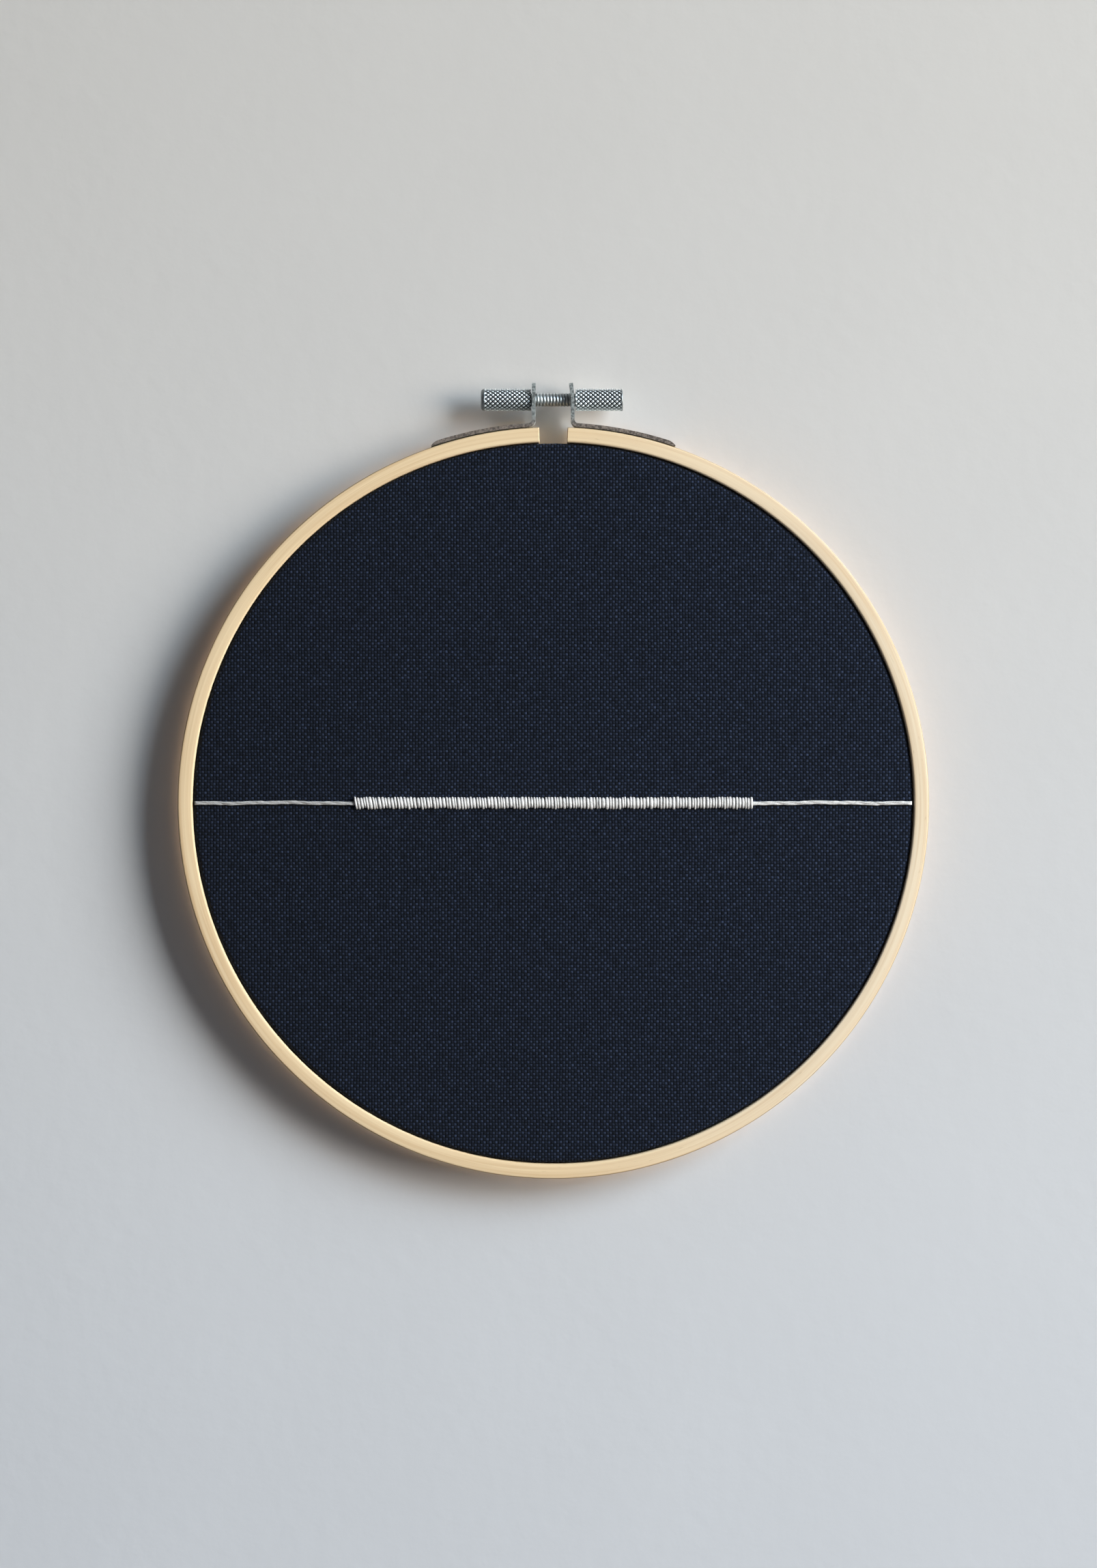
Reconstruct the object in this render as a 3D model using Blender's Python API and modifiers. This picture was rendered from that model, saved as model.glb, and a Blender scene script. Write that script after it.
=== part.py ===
"""Embroidery hoop with a stretched linen, a laid thread line and a satin-stitched bar.

Metres, +Z up. The face looks along -Y, and the wall is the plane Y = 0. The origin is the top of the inner ring's
inside wall, at the back, where a nail in the wall carries the hoop.

Every piece is modelled in the hoop's own frame and stood upright by one parent: X to the right, Y up towards the
clamp, Z out of the wall, with the hoop's centre at X = Y = 0 and the wall at Z = 0.
"""

import math

import bmesh
import bpy

MM = 0.001

# Clearance between pieces that touch, steps of a full turn, and how near points are one point
GAP = 0.3 * MM
RING_STEPS = 72
BARREL_STEPS = 24
MERGE = 0.01 * MM

# The two wooden rings, of the same stock
OUTER_RADIUS = 105.0 * MM
RING_WALL = 4.2 * MM
RING_DEPTH = 9.0 * MM
RING_EDGE = 0.65 * MM
SPLIT_WIDTH = 7.8 * MM

# The linen, whose front lies a little below the outer ring's
LINEN_THICKNESS = 1.0 * MM
LINEN_SHOULDER = 1.3 * MM
LINEN_RECESS = 0.6 * MM
LINEN_TAIL = 0.8 * MM

# The embroidery
BAR_LENGTH = 111.6 * MM
BAR_WIDTH = 3.4 * MM
BAR_HEIGHT = 1.4 * MM
BAR_STITCHES = 130
BAR_FURROW = 0.86
BAR_ARC_STEPS = 5
REVERSE_WIDTH = 3.0 * MM
REVERSE_HEIGHT = 0.5 * MM
REVERSE_STITCHES = 32
LINE_RADIUS = 0.45 * MM
LINE_SWAY = 0.12 * MM
LINE_SWAY_LENGTH = 31.0 * MM
LINE_STEP = 2.0 * MM
LINE_DIVE = math.radians(30)
LINE_DIVE_STEPS = 3

# The clamp: two angle strips, a knurled screw and a knurled nut
STRIP_THICKNESS = 1.05 * MM
STRIP_WIDTH = 7.5 * MM
STRIP_BEND_RADIUS = 1.5 * MM
STRIP_END_ANGLE = math.radians(18.9)
STRIP_NOSE = 2.3 * MM
STRIP_NOSE_DROP = 0.8
EAR_OFFSET = 5.45 * MM
EAR_ABOVE_AXIS = 4.7 * MM
EAR_CORNER = 2.2 * MM
EAR_CORNER_STEPS = 4
BEND_STEPS = 6
LYING_STEPS = 10
NOSE_STEPS = 4
NUT_EAR_LEAN = 0.5 * MM
AXIS_HEIGHT = 112.85 * MM
BARREL_RADIUS = 3.1 * MM
KNURL_PITCH = 0.82 * MM
KNURL_DEPTH = 0.2 * MM
HEAD_LENGTH = 14.0 * MM
HEAD_CHAMFER = 0.95 * MM
NUT_LENGTH = 13.2 * MM
NUT_CHAMFER = 0.35 * MM
ROD_RADIUS = 1.9 * MM
THREAD_PITCH = 0.66 * MM
THREAD_DEPTH = 0.36 * MM
ROD_SHORT_OF_NUT = 1.0 * MM

# Worked out from the sizes above
OUTER_BORE = OUTER_RADIUS - RING_WALL
LINEN_RADIUS = OUTER_BORE - GAP
INNER_RADIUS = LINEN_RADIUS - LINEN_THICKNESS - GAP
INNER_BORE = INNER_RADIUS - RING_WALL
LINEN_BACK = RING_DEPTH + GAP
LINEN_FRONT = LINEN_BACK + LINEN_THICKNESS
OUTER_FRONT = LINEN_FRONT + LINEN_RECESS
OUTER_BACK = OUTER_FRONT - RING_DEPTH
STITCH_FLOOR = LINEN_FRONT + GAP
CLAMP_DEPTH = OUTER_BACK + RING_DEPTH / 2
STRIP_INNER_RADIUS = OUTER_RADIUS + GAP
HOLE_RADIUS = ROD_RADIUS + GAP


def clear_scene():
    """Removes whatever the file opened with."""
    for thing in list(bpy.data.objects):
        bpy.data.objects.remove(thing)


def collection(name):
    made = bpy.data.collections.new(name)
    bpy.context.scene.collection.children.link(made)
    return made


def finish(name, colour, roughness, metallic=0.0):
    """A Principled material of one colour."""
    made = bpy.data.materials.new(name)
    made.use_nodes = True
    shader = made.node_tree.nodes["Principled BSDF"]
    shader.inputs["Base Color"].default_value = (*colour, 1.0)
    shader.inputs["Roughness"].default_value = roughness
    shader.inputs["Metallic"].default_value = metallic
    made.diffuse_color = (*colour, 1.0)
    return made


def place(name, data, home, upright, material=None):
    """Puts mesh or curve data into its collection, standing with the hoop."""
    made = bpy.data.objects.new(name, data)
    home.objects.link(made)
    made.parent = upright
    if material:
        data.materials.append(material)
    return made


def mesh_from(shape, name):
    """Turns a bmesh into mesh data whose faces point out."""
    bmesh.ops.recalc_face_normals(shape, faces=shape.faces)
    data = bpy.data.meshes.new(name)
    shape.to_mesh(data)
    shape.free()
    return data


def arc(centre_x, centre_y, radius, start, end, steps):
    """Points on an arc, with its angles in radians and both ends included."""
    angles = [start + (end - start) * i / steps for i in range(steps + 1)]
    return [(centre_x + radius * math.cos(a), centre_y + radius * math.sin(a)) for a in angles]


def ring_profile(inner, outer, back, front):
    """A rectangle with rounded corners, as (radius, depth) points."""
    low, high = inner + RING_EDGE, outer - RING_EDGE
    near, far = back + RING_EDGE, front - RING_EDGE
    quarter = math.pi / 2
    corners = ((high, near, -quarter), (high, far, 0), (low, far, quarter), (low, near, 2 * quarter))
    points = []
    for x, z, start in corners:
        points += arc(x, z, RING_EDGE, start, start + quarter, 2)
    return points


def linen_profile():
    """The cloth's section from its centre, over the inner ring's edge, to its cut end, and back inside."""
    turn = LINEN_RADIUS - LINEN_SHOULDER
    inside = LINEN_RADIUS - LINEN_THICKNESS
    over = arc(turn, LINEN_FRONT - LINEN_SHOULDER, LINEN_SHOULDER, math.pi / 2, 0, 4)
    return [
        (0, LINEN_FRONT),
        *over,
        (LINEN_RADIUS, LINEN_TAIL),
        (inside, LINEN_TAIL),
        (inside, LINEN_BACK - GAP),
        (inside - GAP, LINEN_BACK),
        (0, LINEN_BACK),
    ]


def turned(name, profile, closed):
    """Mesh data of a profile turned a full circle about Z, from (radius, depth) points."""
    data = bpy.data.meshes.new(name)
    count = len(profile)
    edges = [(i, (i + 1) % count) for i in range(count if closed else count - 1)]
    data.from_pydata([(r, 0, z) for r, z in profile], edges, [])
    shell = bpy.data.objects.new(name, data)
    bpy.context.scene.collection.objects.link(shell)
    screw = shell.modifiers.new("turn", "SCREW")
    screw.steps = screw.render_steps = RING_STEPS
    screw.use_merge_vertices = True
    screw.merge_threshold = MERGE
    bpy.context.view_layer.update()
    graph = bpy.context.evaluated_depsgraph_get()
    shape = bmesh.new()
    shape.from_mesh(bpy.data.meshes.new_from_object(shell.evaluated_get(graph)))
    bpy.data.objects.remove(shell)
    bmesh.ops.remove_doubles(shape, verts=shape.verts, dist=MERGE)
    return mesh_from(shape, name)


def loft(name, sections, closed=False):
    """Mesh data through unlike sections of equal count: capped at both ends, or joined last to first."""
    shape = bmesh.new()
    rows = [[shape.verts.new(point) for point in section] for section in sections]
    pairs = list(zip(rows, rows[1:]))
    if closed:
        pairs.append((rows[-1], rows[0]))
    for one, two in pairs:
        for i in range(len(one)):
            j = (i + 1) % len(one)
            shape.faces.new((one[i], one[j], two[j], two[i]))
    if not closed:
        shape.faces.new(rows[0])
        shape.faces.new(rows[-1])
    return mesh_from(shape, name)


def box(name, low, high):
    """Mesh data of a box between two corners."""
    shape = bmesh.new()
    bmesh.ops.create_cube(shape, size=1.0)
    for vertex in shape.verts:
        vertex.co = [lo + (part + 0.5) * (hi - lo) for part, lo, hi in zip(vertex.co, low, high)]
    return mesh_from(shape, name)


def cut(target, cutter):
    """Takes the cutter out of the target, and keeps the cutter out of the part."""
    cutter.hide_render = True
    cutter.display_type = "WIRE"
    modifier = target.modifiers.new("cut", "BOOLEAN")
    modifier.operation = "DIFFERENCE"
    modifier.object = cutter


def stitched_bar(name, width, height, stitches, floor, rise):
    """A half-round bar along X whose top is furrowed between the stitches. rise is +1 outwards, -1 to the wall."""
    half_stitch = BAR_LENGTH / stitches / 2
    sections = []
    for station in range(2 * stitches + 1):
        swell = BAR_FURROW if station % 2 == 0 else 1.0
        x = station * half_stitch - BAR_LENGTH / 2
        section = []
        for step in range(BAR_ARC_STEPS + 1):
            angle = math.pi * step / BAR_ARC_STEPS
            across = width / 2 * swell * math.cos(angle)
            section.append((x, across, floor + rise * height * swell * math.sin(angle)))
        sections.append(section)
    return loft(name, sections)


def line_route(side):
    """The laid thread's centre line from the bar's end to the rim, where it turns down over the linen's shoulder."""
    lie = STITCH_FLOOR + LINE_RADIUS
    start = BAR_LENGTH / 2 + GAP
    turn = LINEN_RADIUS - LINEN_SHOULDER
    steps = round((turn - start) / LINE_STEP)
    points = []
    for i in range(steps + 1):
        x = start + (turn - start) * i / steps
        sway = LINE_SWAY * math.sin(math.pi * i / steps) * math.sin(side + 2 * math.pi * x / LINE_SWAY_LENGTH)
        points.append((side * x, sway, lie))
    swing = lie - (LINEN_FRONT - LINEN_SHOULDER)
    for x, z in arc(turn, LINEN_FRONT - LINEN_SHOULDER, swing, math.pi / 2, math.pi / 2 - LINE_DIVE, LINE_DIVE_STEPS)[1:]:
        points.append((side * x, 0.0, z))
    return points


def tube(name, route, radius):
    """Curve data of a round thread along a route."""
    data = bpy.data.curves.new(name, "CURVE")
    data.dimensions = "3D"
    data.bevel_depth = radius
    data.bevel_resolution = 2
    data.use_fill_caps = True
    spline = data.splines.new("POLY")
    spline.points.add(len(route) - 1)
    for point, place_at in zip(spline.points, route):
        point.co = (*place_at, 1.0)
    return data


def on_ring(angle):
    """The strip's middle line where it lies on the outer ring, at an angle from the top towards +X."""
    lie = STRIP_INNER_RADIUS + STRIP_THICKNESS / 2
    return lie * math.sin(angle), lie * math.cos(angle)


def strip_path(lean):
    """The strip's middle line on the right-hand side, from the ear's top to its tip on the ring.

    Each entry is a point and how far it is into the rounded nose, from 0 to 1.
    """
    lie = STRIP_INNER_RADIUS + STRIP_THICKNESS / 2
    # The bend starts on the ear's line and meets the circle of the lying stretch from outside
    bend_x = EAR_OFFSET + STRIP_BEND_RADIUS
    bend_y = math.sqrt((lie + STRIP_BEND_RADIUS) ** 2 - bend_x**2)
    meets = math.atan2(bend_x, bend_y)
    nose = STRIP_END_ANGLE - STRIP_NOSE / lie
    points = [(EAR_OFFSET - lean, AXIS_HEIGHT + EAR_ABOVE_AXIS), (EAR_OFFSET, AXIS_HEIGHT)]
    points += arc(bend_x, bend_y, STRIP_BEND_RADIUS, math.pi, 1.5 * math.pi - meets, BEND_STEPS)
    points += [on_ring(meets + (nose - meets) * (i + 1) / LYING_STEPS) for i in range(LYING_STEPS)]
    path = [(point, 0.0) for point in points]
    for i in range(1, NOSE_STEPS + 1):
        share = i / NOSE_STEPS
        path.append((on_ring(nose + (STRIP_END_ANGLE - nose) * share), share))
    return path


def strip_outline(lean):
    """The strip's edge as a closed outline: a constant thickness that rounds down to the wood at the nose."""
    path = strip_path(lean)
    half = STRIP_THICKNESS / 2
    under, over = [], []
    for i, ((x, y), into_nose) in enumerate(path):
        x0, y0 = path[max(i - 1, 0)][0]
        x1, y1 = path[min(i + 1, len(path) - 1)][0]
        length = math.hypot(x1 - x0, y1 - y0)
        out_x, out_y = (y0 - y1) / length, (x1 - x0) / length
        top = half * (1 - 2 * STRIP_NOSE_DROP * into_nose**2)
        over.append((x + out_x * top, y + out_y * top))
        under.append((x - out_x * half, y - out_y * half))
    return over + under[::-1]


def angle_strip(name, side, lean):
    """Mesh data of one strip, extruded across the ring's depth with its ear's free corners rounded."""
    shape = bmesh.new()
    back = CLAMP_DEPTH - STRIP_WIDTH / 2
    outline = strip_outline(lean)
    floor = [shape.verts.new((side * x, y, back)) for x, y in outline]
    face = shape.faces.new(floor)
    raised = bmesh.ops.extrude_face_region(shape, geom=[face])["geom"]
    for vertex in raised:
        if isinstance(vertex, bmesh.types.BMVert):
            vertex.co.z += STRIP_WIDTH
    top = max(vertex.co.y for vertex in shape.verts)
    tips = [
        edge
        for edge in shape.edges
        if all(vertex.co.y > top - GAP for vertex in edge.verts) and abs(edge.verts[0].co.z - edge.verts[1].co.z) < GAP
    ]
    bmesh.ops.bevel(shape, geom=tips, offset=EAR_CORNER, segments=EAR_CORNER_STEPS, profile=0.5, affect="EDGES")
    return mesh_from(shape, name)


def cylinder_along_x(name, start, end, radius):
    """Mesh data of a plain cylinder on the screw's axis."""
    return loft(name, [barrel_section(x, radius) for x in (start, end)])


def barrel_section(x, radius, ripple=0.0, phase=0):
    """A circle about the screw's axis, with every second point drawn in by ripple."""
    section = []
    for i in range(BARREL_STEPS):
        angle = 2 * math.pi * i / BARREL_STEPS
        reach = radius - (ripple if (i + phase) % 2 else 0.0)
        section.append((x, AXIS_HEIGHT + reach * math.cos(angle), CLAMP_DEPTH + reach * math.sin(angle)))
    return section


def knurled_sections(start, end):
    """Sections between two places on the axis, with raised points in diamonds."""
    rows = round(abs(end - start) / KNURL_PITCH)
    return [
        barrel_section(start + (end - start) * row / rows, BARREL_RADIUS, KNURL_DEPTH, row) for row in range(rows + 1)
    ]


def screw_sections():
    """The thumbscrew from its free end: chamfer, knurled barrel, shoulder, and the threaded rod."""
    ear_face = -(EAR_OFFSET + STRIP_THICKNESS / 2 + GAP)
    end = ear_face - HEAD_LENGTH
    sections = [barrel_section(end, BARREL_RADIUS - HEAD_CHAMFER)]
    sections += knurled_sections(end + HEAD_CHAMFER, ear_face)
    thread_start = -(EAR_OFFSET - STRIP_THICKNESS / 2)
    thread_end = -thread_start
    rod_end = EAR_OFFSET + STRIP_THICKNESS / 2 + GAP + NUT_LENGTH - ROD_SHORT_OF_NUT
    sections.append(barrel_section(ear_face, ROD_RADIUS))
    turns = round((thread_end - thread_start) / THREAD_PITCH)
    for half_turn in range(2 * turns + 1):
        x = thread_start + (thread_end - thread_start) * half_turn / (2 * turns)
        sections.append(barrel_section(x, ROD_RADIUS - (THREAD_DEPTH if half_turn % 2 else 0.0)))
    sections.append(barrel_section(rod_end, ROD_RADIUS))
    return sections


def nut_sections():
    """The knurled nut as a loop of sections: outside to its free end, and back along its bore."""
    start = EAR_OFFSET + STRIP_THICKNESS / 2 + GAP
    end = start + NUT_LENGTH
    sections = knurled_sections(start, end - NUT_CHAMFER)
    sections.append(barrel_section(end, BARREL_RADIUS - NUT_CHAMFER))
    sections.append(barrel_section(end, HOLE_RADIUS))
    sections.append(barrel_section(start, HOLE_RADIUS))
    return sections


def build_rings(parts, cutters, upright, wood):
    """The split outer ring and the whole inner ring."""
    outer_profile = ring_profile(OUTER_BORE, OUTER_RADIUS, OUTER_BACK, OUTER_FRONT)
    outer = place("outer_ring", turned("outer_ring", outer_profile, True), parts, upright, wood)
    low = (-SPLIT_WIDTH / 2, OUTER_BORE - RING_WALL, OUTER_BACK - RING_DEPTH)
    high = (SPLIT_WIDTH / 2, OUTER_RADIUS + RING_WALL, OUTER_FRONT + RING_DEPTH)
    cut(outer, place("split_cutter", box("split_cutter", low, high), cutters, upright))
    inner_profile = ring_profile(INNER_BORE, INNER_RADIUS, 0.0, RING_DEPTH)
    place("inner_ring", turned("inner_ring", inner_profile, True), parts, upright, wood)


def build_embroidery(parts, upright, white):
    """The satin-stitched bar, its thread on the reverse, and the laid line to each side."""
    bar = stitched_bar("satin_bar", BAR_WIDTH, BAR_HEIGHT, BAR_STITCHES, STITCH_FLOOR, 1)
    place("satin_bar", bar, parts, upright, white)
    reverse_floor = LINEN_BACK - GAP
    reverse = stitched_bar("satin_reverse", REVERSE_WIDTH, REVERSE_HEIGHT, REVERSE_STITCHES, reverse_floor, -1)
    place("satin_reverse", reverse, parts, upright, white)
    for name, side in (("line_left", -1), ("line_right", 1)):
        place(name, tube(name, line_route(side), LINE_RADIUS), parts, upright, white)


def build_clamp(parts, cutters, upright, steel):
    """The two strips with their bored ears, the screw and the nut."""
    for name, side, lean in (("strip_left", -1, 0.0), ("strip_right", 1, NUT_EAR_LEAN)):
        strip = place(name, angle_strip(name, side, lean), parts, upright, steel)
        ends = sorted((side * EAR_OFFSET / 2, side * EAR_OFFSET * 1.5))
        drill = cylinder_along_x(name + "_drill", *ends, HOLE_RADIUS)
        cut(strip, place(name + "_drill", drill, cutters, upright))
    place("screw", loft("screw", screw_sections()), parts, upright, steel)
    place("nut", loft("nut", nut_sections(), closed=True), parts, upright, steel)


def main():
    clear_scene()
    parts = collection("embroidery_hoop")
    cutters = collection("cutters")
    upright = bpy.data.objects.new("upright", None)
    parts.objects.link(upright)
    upright.location = (0, 0, -INNER_BORE)
    upright.rotation_euler = (math.pi / 2, 0, 0)

    wood = finish("beech", (0.77, 0.62, 0.40), 0.55)
    navy = finish("navy_linen", (0.012, 0.016, 0.030), 0.9)
    white = finish("white_thread", (0.66, 0.66, 0.64), 0.5)
    steel = finish("plated_steel", (0.56, 0.58, 0.58), 0.35, 1.0)

    build_rings(parts, cutters, upright, wood)
    place("linen", turned("linen", linen_profile(), False), parts, upright, navy)
    build_embroidery(parts, upright, white)
    build_clamp(parts, cutters, upright, steel)


main()
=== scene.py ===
"""Wooden embroidery hoop with a stitched thread line on dark linen, as it hangs on a wall.

Each operator makes one piece, or a few like pieces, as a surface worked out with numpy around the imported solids, and
gives it a procedural material. Metres, +Z up, the face towards -Y and the wall at Y = 0. Shapes are worked out in the
hoop's own frame: x to the right and up towards the clamp, from the hoop's centre, and out from the wall.
"""

import math

import bmesh
import bpy
import numpy as np
from bpy.props import FloatProperty, FloatVectorProperty, IntProperty, PointerProperty
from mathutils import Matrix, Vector


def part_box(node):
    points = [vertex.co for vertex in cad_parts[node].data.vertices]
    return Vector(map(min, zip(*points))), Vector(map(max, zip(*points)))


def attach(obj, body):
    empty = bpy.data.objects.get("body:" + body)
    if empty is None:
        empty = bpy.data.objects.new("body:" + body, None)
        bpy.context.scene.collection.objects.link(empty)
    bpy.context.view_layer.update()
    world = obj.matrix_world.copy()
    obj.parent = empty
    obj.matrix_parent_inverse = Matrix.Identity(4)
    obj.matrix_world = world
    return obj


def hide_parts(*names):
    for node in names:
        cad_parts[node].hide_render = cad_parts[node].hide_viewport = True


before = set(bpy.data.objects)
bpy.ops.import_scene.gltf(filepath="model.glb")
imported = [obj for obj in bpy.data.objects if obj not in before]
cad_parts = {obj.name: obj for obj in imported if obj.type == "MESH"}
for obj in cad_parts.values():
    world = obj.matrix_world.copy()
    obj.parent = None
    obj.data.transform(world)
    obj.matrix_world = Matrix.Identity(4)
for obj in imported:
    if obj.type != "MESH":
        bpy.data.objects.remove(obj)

bl_info = {
    "name": "Embroidery Hoop",
    "version": (1, 0, 0),
    "blender": (4, 5, 0),
    "location": "3D View > Sidebar > Hoop",
    "description": "Models a wooden embroidery hoop with its clamp, stretched linen and stitches",
    "category": "Add Mesh",
}

MM = 0.001
BODY = "root"
TURN = 2 * math.pi

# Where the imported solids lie
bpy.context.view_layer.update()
OUTER_LOW, OUTER_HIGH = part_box("outer_ring")
INNER_LOW, INNER_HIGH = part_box("inner_ring")
LINEN_LOW, LINEN_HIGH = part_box("linen")
BAR_LOW, BAR_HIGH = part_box("satin_bar")
REVERSE_LOW, REVERSE_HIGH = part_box("satin_reverse")
SCREW_LOW, SCREW_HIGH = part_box("screw")
NUT_LOW, NUT_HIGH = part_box("nut")
CENTRE_Z = (INNER_LOW.z + INNER_HIGH.z) / 2
AXIS_UP = (SCREW_LOW.z + SCREW_HIGH.z) / 2 - CENTRE_Z
AXIS_OUT = -(SCREW_LOW.y + SCREW_HIGH.y) / 2
LINEN_FRONT = -LINEN_LOW.y

# Where the hoop lies in the reference picture, in its pixels
IMAGE_SIZE = (1607, 2296)
HOOP_CENTRE = (810.5, 1175.7)
HOOP_RADIUS = 550.6

# The window's middle: how far from the hoop, and how far its light is turned away from the wall
WINDOW_FAR = 2.4
WINDOW_OFF_WALL = math.radians(30.5)

# Painted light on the wall by the hoop: how far out the wood's light falls on it, the way to the window, the tint of
# painted shade that evens out that light, and the tint of painted light, lighter and cooler, in the clamp's shadow
GLOW_REACH = 9 * MM
TO_WINDOW = (0.966, 0, 0.259)
GLOW_PAINTED_SHADE_TINT = (0.86, 0.89, 0.93)
CLAMP_SHADOW_PAINTED_LIGHT_TINT = (1.08, 1.22, 1.34)


def hex_colour(text):
    """The linear colour of an sRGB hex value: each channel by the sRGB curve."""
    channels = [int(text[i : i + 2], 16) / 255 for i in (0, 2, 4)]
    return tuple(c / 12.92 if c <= 0.04045 else ((c + 0.055) / 1.055) ** 2.4 for c in channels)


def length(name, description, default):
    """A size, in metres."""
    return FloatProperty(name=name, description=description, default=default, min=0.0, unit="LENGTH", precision=5)


def colour(name, description, default):
    """A colour, whose default is an sRGB hex value."""
    return FloatVectorProperty(
        name=name, description=description, default=hex_colour(default), subtype="COLOR", min=0.0, max=1.0
    )


def share(name, description, default):
    """A number from 0 to 1."""
    return FloatProperty(name=name, description=description, default=default, min=0.0, max=1.0, subtype="FACTOR")


class HoopWood(bpy.types.PropertyGroup):
    """The two bent wooden rings."""

    wall: length("Wall", "Thickness of both rings from inside to outside", 4.2 * MM)
    edge: length("Inner edge", "Radius of the sanded edges round the bore", 0.6 * MM)
    outer_edge: length("Outer edge", "Radius of the sanded edges round the outside", 0.5 * MM)
    split: length("Split", "Width of the outer ring's gap under the screw", 7.8 * MM)
    cut_edge: length("Cut edge", "How far the split's sawn ends are eased", 0.2 * MM)
    pale: colour("Pale wood", "Colour between the growth rings", "F7D9AF")
    # Painted light: the wood's colour towards the window's side
    painted_light_pale: colour("Paler wood", "The same towards the strip's right end", "F7E1C3")
    dark: colour("Dark wood", "Colour of the growth rings", "D9B182")
    fleck: colour("Fleck", "Colour of the short flecks", "B08E5E")
    # The outer ring's outside colour is painted shade, darker than the wood, which also holds back the light it throws
    # on the wall
    outside: colour("Outside", "Colour of the outer ring's unsanded outside", "A98F6C")


class HoopLinen(bpy.types.PropertyGroup):
    """The linen stretched over the inner ring."""

    thickness: length("Thickness", "Thickness of the cloth", 1.0 * MM)
    shoulder: length("Shoulder", "Radius with which it turns over the inner ring's edge", 1.3 * MM)
    spacing: length("Thread spacing", "Distance between threads, drawn coarser than the real 0.69 mm", 0.82 * MM)
    thread: colour("Thread", "Colour of a thread's crown", "3C465E")
    # Painted shade: the colour down between the threads, with the weave's small gaps
    between: colour("Between threads", "Colour down between the threads", "04060B")


class HoopStitches(bpy.types.PropertyGroup):
    """The satin stitches and the laid thread line."""

    count: IntProperty(name="Stitches", description="Satin stitches along the bar", default=130, min=2, max=400)
    uneven: share("Uneven widths", "How much the stitches differ in width", 0.24)
    ragged: length("Ragged edge", "How far stitches reach past or stop short of the bar's edge", 0.28 * MM)
    lean: length("Lean", "How far the lower end of a stitch lies to the right at the left end", 0.55 * MM)
    line: length("Line", "Thickness of the laid thread, a little less on the left", 1.12 * MM)
    ply_turn: length("Ply turn", "Length in which the line's two plies rock once", 4.6 * MM)
    sway: length("Sway", "How far the line wanders from straight", 0.12 * MM)
    pale: colour("Pale cotton", "Colour of the thread's crown", "F9F2EE")
    shade: colour("Shaded cotton", "Colour between the fibres", "D3CDC7")


class HoopClamp(bpy.types.PropertyGroup):
    """The screw, the nut and the two strips."""

    knurl: length("Knurl", "Distance between ridges, drawn coarser than the real 0.79 mm", 0.95 * MM)
    knurl_depth: length("Knurl depth", "Depth of the knurl's grooves", 0.32 * MM)
    head_round: length("Head round", "Radius of the head's smooth free end", 0.95 * MM)
    nut_round: length("Nut round", "Radius of the nut's free end", 0.3 * MM)
    rod: length("Rod", "Radius of the threaded rod", 1.9 * MM)
    pitch: length("Pitch", "The screw's pitch, drawn coarser than the real 0.7 mm", 0.9 * MM)
    thread_depth: length("Thread depth", "Depth of the screw's thread", 0.2 * MM)
    zinc: colour("Zinc", "Colour of the plating", "EFF6F8")
    # Painted shade: the colour down in the knurl's and the thread's grooves, with some dulled zinc
    groove_shade: colour("Groove", "Colour of dulled zinc down in the grooves", "15181A")
    steel: colour("Steel", "Colour of the galvanised strips", "A6A9A6")
    stain: colour("Stain", "Colour of the strips' stained tails", "94857A")


class HoopStage(bpy.types.PropertyGroup):
    """The wall, the floor, the lights and the camera."""

    # The wall's two colours are painted light: warmer high up and cooler lower down
    wall: colour("Wall", "Colour of the plastered wall, high up", "D1C9C2")
    lower_wall_painted_light: colour("Low wall", "Colour of the wall lower down", "D3D1D3")
    floor: colour("Floor", "Colour of the floor", "CCD2D8")
    backdrop: colour("Backdrop", "Colour of the room past the wall, as the camera sees it", "D6DADC")
    below: colour("Light from below", "Colour of the room's light from below", "F7DCC0")
    key: FloatProperty(name="Key light", description="Power of the window light, in watts", default=20.8, min=0.0)
    fill: FloatProperty(name="Fill light", description="Strength of the room's own light", default=0.1, min=0.0)
    lens: FloatProperty(name="Lens", description="Focal length, in millimetres", default=120.0, min=1.0)


def stand(x, up, out):
    """World points from the hoop's own frame: up counts from the hoop's centre, and out counts from the wall."""
    x, up, out = np.broadcast_arrays(x, up, out)
    return np.stack([x, -out, up + CENTRE_Z], axis=-1)


def tube_faces(count, stations, around, loop=False):
    """Faces of closed tubes: quads between neighbouring sections, and a flat cap at each end unless it is a loop."""
    along = np.arange(stations if loop else stations - 1)
    i, j = np.meshgrid(along, np.arange(around), indexing="ij")
    ahead, beside = (i + 1) % stations, (j + 1) % around
    corners = [i * around + j, ahead * around + j, ahead * around + beside, i * around + beside]
    faces = [np.stack(corners, axis=-1).reshape(-1, 4)]
    size = stations * around
    if not loop:
        ring = np.arange(around)
        faces.append(ring[None])
        faces.append((size - 1 - ring)[None])
    starts = np.arange(count)[:, None, None] * size
    return [face for part in faces for face in (part + starts).reshape(-1, part.shape[1]).tolist()]


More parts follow.
